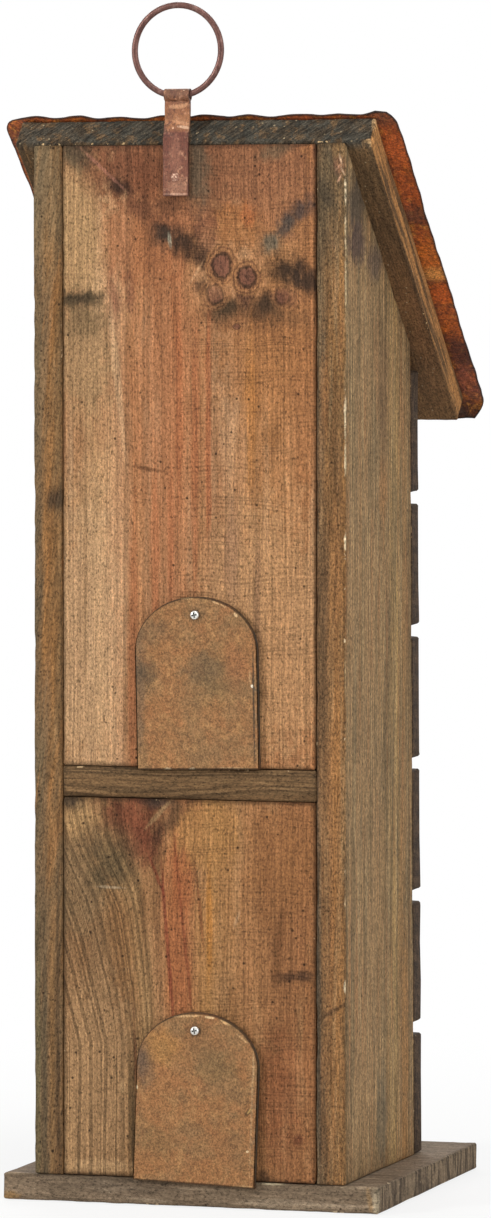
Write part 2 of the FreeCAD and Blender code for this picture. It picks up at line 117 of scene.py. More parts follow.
class Finish:
    """A finish in the making: place in millimetres, flowing grain, colour, shades and relief."""

    def __init__(self, name, along=Z, shift=(0, 0, 0), reach=7, turn=0, tilt=0):
        self.material = bpy.data.materials.new(name)
        self.material.use_nodes = True
        self.add = partial(add, self.material.node_tree)
        self.along = along
        self.mm = self.add(*SCALE, Vector=self.add("ShaderNodeTexCoord", out="Object"), Scale=1000)
        if turn:
            self.mm = self.add(*INTO, Vector=self.mm, Rotation=(turn, 0, 0))
        self.place = self.add(*VECTOR_PLUS, Vector=[self.mm, shift])
        if tilt:
            self.place = self.add(*INTO, Vector=self.place, Rotation=(0, radians(tilt), 0))
        push = self.streaks(34, 150, 2, out="Color")
        push = self.add(*VECTOR_LESS, Vector=[push, (0.5, 0.5, 0.5)])
        push = self.add(*SCALE, Vector=push, Scale=reach)
        self.flow = self.add(*VECTOR_PLUS, Vector=[self.mm, push])
        self.shades = []
        self.heights = []

    def streaks(self, width, length, detail=3, roughness=0.55, place=None, out=None):
        """Streaks along the grain, as wide and long as given."""
        sizes = [1 / width] * 3
        sizes[self.along] = 1 / length
        stretched = self.add(*VECTOR_TIMES, Vector=[place or self.place, tuple(sizes)])
        return self.add(NOISE, out=out, Vector=stretched, Scale=1, Detail=detail, Roughness=roughness)

    def uneven(self, reach, *streaks):
        """An uneven amount round nought."""
        return self.add(RANGE, Value=self.streaks(*streaks), From_Min=0.3, From_Max=0.7, To_Min=-reach,
                        To_Max=reach)

    def lay(self, cover, tone):
        """Lays another tone over the colour."""
        self.colour = self.add(*MIX, Factor=cover, A=self.colour, B=tone)

    def darken(self, shade):
        """Lays a shade over the colour."""
        self.colour = self.add(*DARKEN, Factor=1, A=self.colour, B=shade)

    def oval(self, ragged, **place):
        """How far a point lies from an oval's middle, with its ragged edge at one."""
        inside = self.add(*INTO, Vector=self.mm, **place)
        return self.add(*PLUS, Value=[self.add(*LENGTH, Vector=inside), ragged])

    def spot(self, far, low, high, tone, strength):
        """Another tone, fading out between two distances."""
        cover = self.add(*SMOOTH, Value=far, From_Min=low, From_Max=high, To_Min=strength, To_Max=0)
        self.lay(cover, tone)

    def part_round(self, centre, radii, strength):
        """Grain that parts and runs round a knot."""
        far = self.add(*LENGTH, Vector=self.add(*INTO, Vector=self.mm, Location=centre, Scale=radii))
        pull = self.add(*SMOOTH, Value=far, To_Min=-strength, To_Max=0)
        offset = self.add(*VECTOR_LESS, Vector=[self.mm, centre])
        back = self.add(*SCALE, Vector=offset, Scale=pull)
        self.flow = self.add(*VECTOR_PLUS, Vector=[self.flow, back])

    def fan(self, x_from, low, high, low_factor, high_factor):
        """Grain that fans out beside a line, more steeply lower down."""
        beyond = self.add(*LESS, Value=[self.add(PARTS, out="X", Vector=self.flow), x_from])
        beyond = self.add(MATH, {"operation": "MAXIMUM"}, Value=[beyond, 0])
        z = self.add(PARTS, out="Z", Vector=self.flow)
        factor = self.add(RANGE, Value=z, From_Min=low, From_Max=high, To_Min=low_factor - 1,
                          To_Max=high_factor - 1)
        shift = self.add("ShaderNodeCombineXYZ", X=self.add(*TIMES, Value=[beyond, factor]))
        self.flow = self.add(*VECTOR_PLUS, Vector=[self.flow, shift])

    def ends(self, middle, beyond, tone, other, grain):
        """Two other tones on the board's ends."""
        x = self.add(*LESS, Value=[self.add(PARTS, out="X", Vector=self.mm), middle])
        far = self.add(MATH, {"operation": "ABSOLUTE"}, Value=[x])
        cover = self.add(*SMOOTH, Value=far, From_Min=beyond - 0.2, From_Max=beyond + 0.2)
        sizes = self.add(*VECTOR_TIMES, Vector=[self.place, grain])
        patch = self.add(NOISE, Vector=sizes, Scale=1, Detail=3, Roughness=0.6)
        patch = self.add(*SMOOTH, Value=patch, From_Min=0.4, From_Max=0.6)
        self.lay(cover, self.add(*MIX, Factor=patch, A=tone, B=other))

    def bands(self, direction, tones, drift=3, start=0):
        """The board's tones from side to side, drifting with the grain."""
        low, high = start + tones[0][0], start + tones[-1][0]
        across = self.add(*DOT, Vector=[self.flow, direction])
        across = self.add(*PLUS, Value=[across, self.uneven(drift, 7, 90)])
        share = self.add(RANGE, Value=across, From_Min=low, From_Max=high)
        stops = [((start + place - low) / (high - low), tone) for place, tone in tones]
        self.colour = self.add(RAMP, {"stops": stops}, Fac=share)

    def clouds(self, *patches):
        """Cloudy patches of other tones along the grain, perhaps with an edge of their own."""
        for tone, strength, size, length, *edge in patches:
            low, high = edge or (0.45, 0.65)
            cloud = self.add(*SMOOTH, Value=self.streaks(size, length, 4, 0.6), From_Min=low,
                             From_Max=high, To_Max=strength)
            self.lay(cloud, tone)

    def stains(self, marks, depth=BACK_FACE, soft=0.7, grit=(5, 7), reach=0.42, thick=60):
        """Marks: place across and up, half width and height, tone, strength and perhaps a lean."""
        ragged = self.uneven(reach, *grit, 5, 0.7)
        for x, z, half_width, half_height, tone, strength, *lean in marks:
            far = self.oval(ragged, Location=(x, depth, z), Rotation=(0, radians(sum(lean)), 0),
                            Scale=(half_width, thick, half_height))
            self.spot(far, 1 - soft, 1 + soft, tone, strength)

    def blotches(self, x, marks):
        """Blotches along the sheet's side: place down the slope, half length, tone and strength."""
        ragged = self.uneven(0.4, 4, 4, 5, 0.7)
        for down, half, tone, strength in marks:
            far = self.oval(ragged, Location=(x, ROOF_REAR + down, 0), Scale=(9, half, 1000))
            self.spot(far, 0.4, 1.4, tone, strength)

    def knot(self, x, z, half_width, half_height, strength=0.85):
        """A tight knot: dark red wood in a ring of bark, then a pale ring and a dark line."""
        far = self.oval(self.uneven(0.16, 3, 4), Location=(x, BACK_FACE, z),
                        Scale=(half_width, 60, half_height))
        tones = self.add(RAMP, {"stops": [
            (0, "#4F2E28"), (0.12, "#6B4338"), (0.34, "#724739"), (0.41, "#33201A"), (0.48, "#3A241B"),
            (0.55, "#8F6040"), (0.64, "#A9774D"), (0.71, "#6A4530"), (0.79, "#A5744A"),
        ]}, Fac=self.add(RANGE, Value=far, From_Max=2))
        self.spot(far, 1.45, 1.8, tones, strength)

    def rings(self, heart, spacing, dark, light=1.05, beyond=None):
        """Growth rings round the tree's heart, on the whole board or beyond a place."""
        flat = [1, 1, 1]
        flat[self.along] = 0
        out = self.add(*VECTOR_LESS, Vector=[self.flow, heart])
        out = self.add(*VECTOR_TIMES, Vector=[out, tuple(flat)])
        count = self.add(*TIMES, Value=[self.add(*LENGTH, Vector=out), 1 / spacing])
        band = self.add(NOISE, {"noise_dimensions": "1D"}, W=count, Scale=1, Detail=3, Roughness=0.7)
        shade = self.add(*SMOOTH, Value=band, From_Min=0.38, From_Max=0.58, To_Min=dark, To_Max=light)
        if beyond is not None:
            x = self.add(PARTS, out="X", Vector=self.mm)
            cover = self.add(*SMOOTH, Value=x, From_Min=beyond - 14, From_Max=beyond + 14)
            shade = self.add("ShaderNodeMix", Factor=cover, A=1, B=shade)
        self.shades.append(shade)

    def fibres(self, width, length, dark, light):
        """Fine streaks of fibre that also stand proud."""
        fine = self.streaks(width, length, 3, 0.75)
        self.shades.append(self.add(RANGE, Value=fine, From_Min=0.36, From_Max=0.64, To_Min=dark,
                                    To_Max=light))
        self.heights.append(fine)

    def scored(self, slant):
        """Slanting saw scratches across the roof board's rear end."""
        place = self.add(*INTO, Vector=self.mm, Rotation=(0, radians(slant), 0))
        place = self.add(*VECTOR_TIMES, Vector=[place, (1 / 7, 1 / 7, 1 / 1.1)])
        scratch = self.add(NOISE, Vector=place, Scale=1, Detail=3, Roughness=0.7)
        shade = self.add(RANGE, Value=scratch, From_Min=0.38, From_Max=0.64, To_Min=0.48, To_Max=1.7)
        y = self.add(PARTS, out="Y", Vector=self.mm)
        cover = self.add(*SMOOTH, Value=y, From_Min=ROOF_REAR - 9, From_Max=ROOF_REAR - 1)
        self.shades.append(self.add("ShaderNodeMix", Factor=cover, A=1, B=shade))
        self.heights.append(self.add(*TIMES, Value=[cover, scratch]))

    def grain(self, dark, light):
        """The wood's close texture, fibres and dirt, a little coarser than real."""
        self.fibres(1, 14, dark ** 0.6, light ** 0.5)
        self.fibres(0.85, 1.5, dark, light)
        self.grit(1, 1.5, 0.55, 0.56, 0.66)
        self.grit(1.3, 3.6, 0.45, 0.63, 0.72)
        self.pinholes(7, 1.2, 0.4, "#2A1A10")
        self.pinholes(9, 0.9, 0.25, "#D9BB92", 0.6)

    def grit(self, width, length, dark, low=0.54, high=0.66):
        """Dark flecks of dirt in the open grain."""
        flecks = self.streaks(width, length, 2, 0.6, self.mm)
        shade = self.add(*SMOOTH, Value=flecks, From_Min=low, From_Max=high, To_Min=1, To_Max=dark)
        self.shades.append(shade)

    def saw_marks(self, pitch, dark, side):
        """Level lines left by the saw, patchy and bowed, on one side of a place."""
        bow = self.add(RANGE, Value=self.streaks(40, 40, 1), To_Min=-5, To_Max=5)
        height = self.add(*PLUS, Value=[self.add(PARTS, out="Z", Vector=self.mm), bow])
        count = self.add(*TIMES, Value=[height, 1 / pitch])
        lines = self.add(NOISE, {"noise_dimensions": "1D"}, W=count, Scale=1, Detail=1)
        patchy = self.add(*SMOOTH, Value=self.streaks(24, 7, 3), From_Min=0.36, From_Max=0.62)
        deep = self.add(*SMOOTH, Value=lines, From_Min=0.62, From_Max=0.35)
        here = self.add(*SMOOTH, Value=self.add(PARTS, out="X", Vector=self.flow), From_Min=side + 12,
                        From_Max=side - 12)
        cover = self.add(*TIMES, Value=[self.add(*TIMES, Value=[patchy, deep]), here])
        self.shades.append(self.add(RANGE, Value=cover, To_Min=1.03, To_Max=dark))
        self.heights.append(lines)

    def pinholes(self, spacing, size, share, tone, strength=0.85):
        """Sparse specks: resin pores, or in a pale tone bare wood."""
        far = self.add("ShaderNodeTexVoronoi", out="Distance", Vector=self.place, Scale=1 / spacing)
        near = self.add(*SMOOTH, Value=far, From_Min=0.3 * size / spacing, From_Max=0.7 * size / spacing,
                        To_Min=strength, To_Max=0)
        cell = far.node.outputs["Color"]
        chosen = self.add(MATH, {"operation": "LESS_THAN"}, Value=[cell, share])
        self.lay(self.add(*TIMES, Value=[near, chosen]), tone)

    def shaded(self):
        """All shades laid over the colour at once."""
        self.darken(reduce(lambda one, other: self.add(*TIMES, Value=[one, other]), self.shades))
        self.shades = []

    def chipped(self, tone, amount, dirt_and_painted_shade=0.8):
        """Arrises darkened, partly for dirt and partly as painted shade in the gaps between parts and on
        shaded sides, chipped here and there to bare wood.
        """
        self.shaded()
        arris = self.add("ShaderNodeAttribute", {"attribute_name": "arris"}, out="Fac")
        # Darkening of the arrises: partly dirt, partly painted shade in gaps, recesses and shaded sides
        self.darken(self.add(RANGE, Value=arris, From_Min=0.3, To_Min=1, To_Max=dirt_and_painted_shade))
        fine = self.add(NOISE, Vector=self.place, Scale=0.32, Detail=3, Roughness=0.6)
        wide = self.add(NOISE, Vector=self.place, Scale=0.035, Detail=2)
        worn = self.add(*TIMES, Value=[self.add(*PLUS, Value=[fine, wide]), arris])
        self.lay(self.add(*SMOOTH, Value=worn, From_Min=1.28 - amount, From_Max=1.36 - amount), tone)
        return self

    def done(self, depth=0.3, roughness=0.88, metallic=0, specular=0.2):
        """The finish with the relief of its fibres, saw marks or dents."""
        if self.shades:
            self.shaded()
        height = reduce(lambda one, other: self.add(*PLUS, Value=[one, other]), self.heights)
        normal = self.add("ShaderNodeBump", Height=height, Strength=1, Distance=depth * MM)
        tree = self.material.node_tree
        shader = tree.nodes["Principled BSDF"]
        tree.links.new(self.colour, shader.inputs["Base Color"])
        tree.links.new(normal, shader.inputs["Normal"])
        shader.inputs["Roughness"].default_value = roughness
        shader.inputs["Metallic"].default_value = metallic
        shader.inputs["Specular IOR Level"].default_value = specular
        return self.material


# The boards' finishes

def upper_back_finish():
    """Orange-tan pine: reddish streaks down the middle, grey smudges round knots at the top."""
    wood = Finish("stained_pine_upper_back")
    wood.part_round((-21, BACK_FACE, 430), (30, 60, 26), 0.8)
    wood.bands((1, 0, 0), [
        (-61.3, "#A56E45"), (-48, "#AC7A50"), (-36, "#AB784C"), (-26, "#B6855B"), (-14, "#B0835C"),
        (-6, "#AA7850"), (5, "#A8734E"), (16, "#AA7852"), (27, "#AE7B52"), (33, "#BA8D66"),
        (45, "#B58D63"), (61.3, "#A87E56"),
    ])
    wood.clouds(("#976442", 0.45, 22, 90), ("#C29E78", 0.4, 12, 120, 0.52, 0.7))
    wood.stains([
        (0, 480, 66, 20, "#794C34", 0.85), (-38, 470, 26, 22, "#936344", 0.8),
        (22, 446, 22, 24, "#9C6340", 0.7), (57, 450, 13, 32, "#B08B61", 0.95, 9),
        (-22, 452, 13, 10, "#A36A3C", 0.6), (3, 456, 13, 8, "#8E5B3E", 0.6),
        (-9, 447, 5, 12, "#865641", 0.5), (50, 392, 13, 26, "#A3815B", 0.8, 6),
        (-38, 395, 24, 32, "#A26D42", 0.6), (-40, 265, 34, 58, "#B88B60", 0.8),
        (50, 262, 16, 66, "#BD9871", 0.6),
    ], soft=0.4)
    wood.stains([
        (-30, 412, 24, 9, "#70492F", 0.5), (54, 486, 8, 6, "#453F31", 0.8, -20),
        (28, 480, 20, 8, "#6A3F2B", 0.6, -30), (33.5, 470, 6.5, 3.4, "#2E2019", 0.9, -25),
        (21, 460, 10, 6, "#5E3C2B", 0.7, -30), (8.6, 462, 7, 4, "#573A28", 0.6),
        (-4, 478, 5.5, 16, "#5A5140", 0.75, 4), (-41, 486, 7, 3.4, "#5C5340", 0.6, 20),
        (12, 447.5, 6, 5, "#2F2B25", 0.9, -15), (1.5, 443.5, 9.5, 5.8, "#2E241C", 0.9, -32),
        (-6, 437, 6, 4, "#402C20", 0.7, -35), (-52.5, 458, 9, 3.6, "#443B37", 0.85, 42),
        (-46.5, 452, 5, 3.4, "#4A433C", 0.75, 42), (-39, 444, 4.6, 4.2, "#5A5C4E", 0.75, 50),
        (-47, 431, 8.5, 6.5, "#30251C", 0.9, -20), (-57, 427.5, 8, 6.5, "#362920", 0.9, -25),
        (-37, 415.5, 8.5, 6.4, "#352B20", 0.85, 10), (-18, 414.3, 7.5, 4.6, "#3A3123", 0.85, 18),
        (-27, 420, 3.5, 5, "#55362A", 0.6), (-6.5, 424.5, 3.2, 3.4, "#3E2A1F", 0.75, -40),
        (-47, 419.5, 6, 4, "#6A4434", 0.6, -20), (-48, 410, 12, 4, "#7A5638", 0.5),
        (52.5, 418.6, 10.5, 4.2, "#352D20", 0.9), (50, 409, 11, 7, "#6B563B", 0.6),
        (-29, 457, 3.2, 4.4, "#B5673C", 0.5), (36, 419, 2.6, 11, "#754636", 0.6, 4),
        (28, 420, 2.2, 10, "#7B4C38", 0.55, 6), (17, 426, 2.6, 26, "#7D4F32", 0.5, 3),
        (6.5, 410, 1.6, 22, "#86502F", 0.5, 5), (-40.4, 355.6, 4, 5.5, "#7D532F", 0.5),
    ], reach=0.5)
    wood.stains([
        (27, 262, 2.2, 64, "#9C5B3A", 0.5), (16.2, 300, 2, 46, "#9F5C3A", 0.5),
        (8.6, 305, 1.6, 32, "#9F5C3A", 0.5), (4.5, 372, 1.8, 46, "#A65F3B", 0.5),
        (-3, 350, 1.8, 60, "#A35D3B", 0.5), (-9.6, 358, 1.4, 55, "#A85C38", 0.6),
        (10, 372, 16, 56, "#AC6E47", 0.35), (-30, 368, 2.8, 34, "#B4773E", 0.6),
        (34.5, 382, 1.7, 34, "#C6A37B", 0.45, 6), (42, 479, 13, 0.8, "#AC7560", 0.45, -42),
        (50, 300, 1.2, 60, "#93714F", 0.5), (-20.8, 300, 3.5, 22, "#86644E", 0.45),
        (-33, 270, 1.6, 40, "#8B664C", 0.5), (20, 340.7, 8, 0.8, "#70492F", 0.8, -8.6),
        (9, 445.6, 0.8, 3.4, "#9D9680", 0.7, 8), (-4, 431, 0.6, 6, "#C79A70", 0.6, -32),
    ], soft=0.5, grit=(1.6, 20))
    wood.knot(-16, 433.7, 4.9, 6)
    wood.knot(-28, 428.6, 4.7, 5.2)
    wood.knot(-12.8, 421, 4.6, 4.6, 0.5)
    wood.knot(-45.3, 420.2, 4.2, 4.2, 0.3)
    wood.knot(-23.2, 406, 1.9, 1.3, 0.7)
    wood.rings((-120, 40, 0), 4.4, 0.88, 1.08)
    wood.rings((-300, 90, 0), 1.5, 0.88, 1.1)
    wood.grain(0.66, 1.36)
    wood.saw_marks(1, 0.76, 2)
    return wood.chipped("#D8B68C", 0, 0.55).done()


def lower_back_finish():
    """Darker pine: a red wedge under the shelf, red and orange streaks, grey-brown fanning grain."""
    wood = Finish("stained_pine_lower_back", Z, (340, 0, 90))
    wood.part_round((24, BACK_FACE, 176), (46, 60, 44), 0.6)
    wood.fan(8, 75, 190, 2.2, 0.9)
    wood.bands((1, 0, 0), [
        (-61.3, "#9E6B44"), (-48, "#9D6B46"), (-35, "#A2724A"), (-22, "#A5774D"), (-11, "#AD7E4C"),
        (-4, "#A7784C"), (4, "#A87049"), (12, "#A97148"), (22, "#9F734D"), (34, "#95744E"),
        (48, "#906C47"), (66, "#856545"),
    ])
    wood.clouds(("#7A5433", 0.45, 18, 70), ("#B98E62", 0.35, 9, 60, 0.52, 0.7))
    wood.stains([
        (-8, 172, 16, 16, "#AC7D4B", 0.75), (44, 58, 20, 44, "#A37F59", 0.75),
        (-45, 160, 16, 26, "#99683F", 0.5), (52, 150, 12, 24, "#7F684A", 0.5, -10),
    ], soft=0.4)
    wood.stains([
        (57, 186, 7, 3.6, "#3C352C", 0.75, -20), (53, 178, 9, 5.5, "#B08B5E", 0.75, 28),
        (28, 180, 14, 12, "#6C3826", 0.85), (22.5, 167, 8, 9, "#683625", 0.8),
        (14.5, 187, 7, 3, "#3C342E", 0.75), (8, 180, 12, 3.6, "#4E3A29", 0.7, 52),
        (38, 163, 11, 12, "#625036", 0.6), (38, 154, 9, 9, "#564731", 0.7),
        (46, 168, 4, 8, "#6E573D", 0.5, 10), (-48, 108, 6, 2.2, "#463022", 0.7),
        (-55.5, 108.7, 4, 2.4, "#453124", 0.7), (-43.5, 124, 2.2, 17, "#6B462A", 0.6, -6),
        (-37, 148, 4, 30, "#7E5332", 0.4), (-42, 52, 9, 26, "#80482C", 0.5),
        (-53, 33, 2, 3, "#5E3222", 0.7), (27.6, 44, 1.7, 32, "#59452C", 0.75, 2),
        (25.6, 60, 0.8, 26, "#5E3420", 0.7, 2), (-36, 15, 3, 3, "#2E241C", 0.6),
    ], reach=0.5)
    wood.stains([
        (46, 17.5, 20, 3, "#B8946A", 0.6), (58, 30, 3, 20, "#B08A60", 0.5),
        (32, 55, 1.2, 3, "#D0A878", 0.6),
    ], soft=0.5, grit=(1.2, 4))
    wood.stains([
        (6, 126, 5.5, 40, "#A05A35", 0.4, 5), (3, 151, 5, 14, "#A5613B", 0.5, 8),
        (15.5, 153, 0.8, 11, "#7A3A28", 0.7, 22), (10.3, 121, 0.9, 36, "#783828", 0.7, 4.5),
        (2.4, 127, 0.8, 38, "#783E28", 0.65, 6), (-5.3, 139, 0.8, 20, "#7C4A2C", 0.65, 6),
        (-10, 130, 1.5, 28, "#BC7B36", 0.6), (15, 181, 8, 1, "#AC885F", 0.7, 47),
        (38, 147, 6.5, 0.6, "#BCA585", 0.5, -2), (-23.4, 134, 4, 0.8, "#B99772", 0.5, 70),
    ], soft=0.5, grit=(1.6, 20))
    wood.rings((-60, 10, 0), 3.3, 0.66, 1.2, 14)
    wood.rings((-260, 60, 0), 1.6, 0.86, 1.1)
    wood.grain(0.64, 1.34)
    wood.saw_marks(1.1, 0.8, 14)
    wood.pinholes(11, 1.1, 0.3, "#D5B080", 0.7)
    return wood.chipped("#D8B68C", 0, 0.55).done()


def grey_side_finish():
    """Weathered board: olive-grey face, browner rear edge, cream chips along the corner."""
    wood = Finish("weathered_pine_side", Z, (120, 40, 30))
    # From the corner: the outer face lies below nought, the rear edge above
    wood.bands((1, 1, 0), [
        (-116, "#92744F"), (-92, "#906E47"), (-84, "#A58556"), (-70, "#8E704B"), (-48, "#997A55"),
        (-26, "#937551"), (-8, "#9B7C57"), (-1.5, "#93734E"), (1, "#9A7043"), (6, "#956C42"),
        (9.5, "#745E45"), (14, "#6C5A44"),
    ], drift=2, start=BACK_FACE - HOUSE_HALF)
    wood.clouds(("#6B583D", 0.65, 6, 90, 0.44, 0.6), ("#A98F68", 0.5, 3.4, 120, 0.5, 0.62),
                ("#8F6440", 0.5, 5, 90, 0.52, 0.64), ("#5F5542", 0.5, 2.4, 90, 0.56, 0.64))
    for depth, thick, soft, marks in [
        (68, 14, 0.5, [(462, 13, "#4B4136", 0.85), (444, 9, "#4E3E38", 0.85)]),
        (38, 12, 0.5, [(436, 8, "#56463C", 0.75)]),
        (25, 8, 0.5, [(38, 22, "#645B48", 0.65)]),
        (-14, 6, 0.5, [(60, 60, "#9C7042", 0.6)]),
        (24, 7, 0.6, [(372, 30, "#6E5238", 0.55), (330, 12, "#9A6B40", 0.45)]),
    ]:
        marks = [(-HOUSE_HALF, z, 30, *rest) for z, *rest in marks]
        wood.stains(marks, depth=depth, soft=soft, thick=thick)
    wood.stains([
        (-68, 190, 9, 215, "#8C6039", 0.6), (-68, 468, 9, 34, "#60503A", 0.75),
        (-66, 466, 3, 8, "#463C2E", 0.7, 20), (-70, 478, 1.4, 10, "#4B4234", 0.6, 20),
        (-62, 90, 1.6, 90, "#5C5446", 0.7), (-68, 92, 7, 1, "#4A3524", 0.7, 32),
        (-65, 250, 2, 60, "#5F4A34", 0.5), (-72, 330, 2, 40, "#6B4E33", 0.5, 2),
    ], thick=2, grit=(2, 12))
    wood.stains([
        (-72.8, 482, 0.45, 2.2, "#E0BE98", 0.85, 14), (-71.6, 478.6, 0.45, 1.8, "#D8A683", 0.8, -40),
        (-73.6, 477, 0.45, 2.2, "#E0BE98", 0.8, 24), (-72.4, 473.6, 0.45, 1.6, "#D8A683", 0.7, -30),
        (-72.2, 479, 2.6, 4, "#8E5F48", 0.5, 10),
    ], thick=2, grit=(1.6, 3))
    chips = [
        (468, 0.8, 6, "#EAD3AC", 0.95), (448, 0.6, 12, "#E0C8A0", 0.85), (424, 0.55, 16, "#D8BE94", 0.8),
        (366, 0.8, 9, "#EAD3AC", 0.95), (345, 0.7, 9, "#E5CDA5", 0.95), (308, 0.8, 4, "#EAD3AC", 0.95),
        (250, 0.5, 30, "#CDAE80", 0.7), (150, 0.6, 14, "#DCC49C", 0.8), (104, 0.8, 3, "#EAD3AC", 0.9),
    ]
    wood.stains([(-HOUSE_HALF, *chip) for chip in chips], soft=0.3, grit=(2, 4), thick=1)
    wood.rings((-40, -120, 0), 1.5, 0.76, 1.13)
    wood.grain(0.52, 1.6)
    wood.pinholes(7, 0.9, 0.3, "#4A3A2A", 0.7)
    return wood.chipped("#E3C9A0", 0.02).done()


def brown_side_finish():
    """The other side board: grey-brown, with orange streaks in its rear edge."""
    wood = Finish("weathered_pine_other_side", Z, (-210, 70, 10), reach=10, tilt=-8)
    # From the corner: the rear edge lies below nought, the outer face above
    wood.bands((1, -1, 0), [
        (-14, "#8C6A45"), (-9.5, "#94693E"), (-6, "#866747"), (-1, "#766246"), (4, "#7C6547"),
        (40, "#8A7150"), (80, "#806646"), (116, "#8C7250"),
    ], start=HOUSE_HALF - BACK_FACE)
    wood.clouds(("#625541", 0.5, 9, 70), ("#A06D3E", 0.5, 4, 60, 0.52, 0.66))
    wood.stains([
        (72, 470, 12, 34, "#7F6C50", 0.6), (64, 326, 5, 5, "#3E3226", 0.8),
        (70, 70, 10, 110, "#6E5A42", 0.6), (73.6, 60, 1.4, 70, "#665C40", 0.7),
        (70.2, 60, 1.2, 80, "#4A4232", 0.6), (66.6, 60, 1, 80, "#8E6A42", 0.6),
        (63.6, 80, 0.9, 110, "#4A3A2A", 0.6), (72.5, 300, 1.4, 120, "#5C4C36", 0.45),
    ], grit=(1.6, 30))
    wood.rings((30, -90, 0), 2.2, 0.78, 1.12)
    wood.grain(0.64, 1.4)
    return wood.chipped("#C9AA80", 0.02).done()


def shelf_finish():
    """Dark olive-brown board edge with wavy grain."""
    wood = Finish("stained_pine_shelf", X, (15, 25, 35), reach=15)
    wood.bands((0, 0, 1), [(188, "#684E33"), (193, "#775B3D"), (198, "#6C5338"), (203, "#755B3F")])
    wood.clouds(("#5A4630", 0.5, 5, 40), ("#8E6F4C", 0.4, 3, 50, 0.52, 0.66))
    wood.rings((0, 40, 150), 1.7, 0.7, 1.18)
    wood.grain(0.68, 1.34)
    return wood.chipped("#C9AA80", 0).done()


def roof_finish():
    """Dark stained board, grain down the slope: charcoal end grain scored at the rear, tan sides."""
    wood = Finish("dark_stained_roof_board", Y, (55, 5, 95), turn=ROOF_PITCH)
    wood.bands((0, 1, 0), [
        (-199, "#755637"), (-120, "#745337"), (-60, "#705438"), (-6, "#6B5338"), (-0.6, "#4D463B"),
        (0, "#464239"),
    ], drift=0.5, start=ROOF_REAR)
    wood.clouds(("#463624", 0.6, 7, 90), ("#84633F", 0.4, 4, 60, 0.52, 0.64))
    wood.ends(ROOF_MIDDLE, 85.1, "#AE7C4A", "#644A30", (0.1, 0.02, 0.3))
    wood.stains([
        (-86.3, ROOF_UNDER + 12, 0.9, 3.2, "#CDA677", 0.85), (-86, ROOF_UNDER + 1, 2, 1, "#C9A070", 0.8),
    ], depth=ROOF_REAR, soft=0.5, grit=(1.2, 1.2), thick=3)
    wood.scored(42)
    wood.grain(0.6, 1.45)
    wood.pinholes(3.4, 0.9, 0.4, "#A59272", 0.75)
    return wood.chipped("#E0BC88", 0.06).done(0.4)


def plank_finish():
    """Near-black brown planks, ragged and scuffed at their arrises."""
    wood = Finish("dark_stained_front_plank", X, (5, 85, 15), reach=9)
    wood.bands((0, 0, 1), [
        (12, "#4A392A"), (150, "#4E3C2B"), (260, "#46362A"), (400, "#4C3B2B"),
    ], drift=30)
    wood.clouds(("#33281E", 0.5, 12, 90), ("#6E5840", 0.5, 6, 80, 0.55, 0.7))
    wood.ends(0, 75.2, "#594636", "#33281F", (0.1, 0.5, 0.15))
    wood.rings((0, 0, -60), 4, 0.76)
    wood.grain(0.6, 1.5)
    return wood.chipped("#8C7252", 0.1).done(0.4)


def base_finish():
    """Grey-brown rough board, speckled, its arrises pale with scuffs."""
    wood = Finish("rough_sawn_base_board", X, (25, 15, 5))
    wood.bands((0, 1, 0), [(-86, "#8A7661"), (0, "#8E7A65"), (70, "#85715C"), (86, "#88745E")], drift=8)
    wood.clouds(("#6E5D4A", 0.5, 12, 60), ("#A5927A", 0.5, 5, 50, 0.52, 0.66))
    wood.ends(0, 90.6, "#8C7860", "#4E4032", (0.1, 0.45, 0.05))
    wood.stains([
        (-84, 12.3, 9, 0.8, "#B9A184", 0.8), (88, 1.5, 5, 2, "#A07C50", 0.8),
        (-90, 7, 1.6, 5, "#C2B092", 0.8), (-90, 2, 1.6, 2.4, "#C2B092", 0.7),
        (-87, 6, 1, 6, "#A8865C", 0.6, 10), (86, 12.3, 6, 0.6, "#B9A184", 0.7),
        (-40, 12.2, 5, 0.6, "#CDBB98", 0.9), (30, 8, 20, 4, "#6A5A4A", 0.5),
    ], thick=3, grit=(2, 2))
    wood.rings((0, 30, -60), 4, 0.84)
    wood.grain(0.66, 1.34)
    wood.pinholes(3.6, 0.8, 0.3, "#B8A68A", 0.6)
    wood.pinholes(3, 0.8, 0.35, "#4C3F32", 0.6)
    return wood.chipped("#C9B290", 0.1).done(0.4)


# Boards

def own_mesh(node):
    """A CAD node's shape as one mesh, its triangles joined into flat faces."""
    mesh = bmesh.new()
    mesh.from_mesh(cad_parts[node].data)
    bmesh.ops.remove_doubles(mesh, verts=mesh.verts, dist=0.01 * MM)
    bmesh.ops.dissolve_limit(mesh, angle_limit=radians(1), verts=mesh.verts, edges=mesh.edges)
    return mesh


def cut_across(mesh, axis, places):
    """Cuts the mesh's faces along planes square to an axis."""
    normal = Vector((0, 0, 0))
    normal[axis] = 1
    for place in places:
        whole = mesh.verts[:] + mesh.edges[:] + mesh.faces[:]
        bmesh.ops.bisect_plane(mesh, geom=whole, plane_co=normal * place, plane_no=normal, dist=0.02 * MM)


def smoothed(mesh, sharp_from):
    """Smooth faces, with edges sharp from an angle in degrees upwards."""
    for face in mesh.faces:
        face.smooth = True
    for edge in mesh.edges:
        edge.smooth = edge.calc_face_angle(0) < radians(sharp_from)


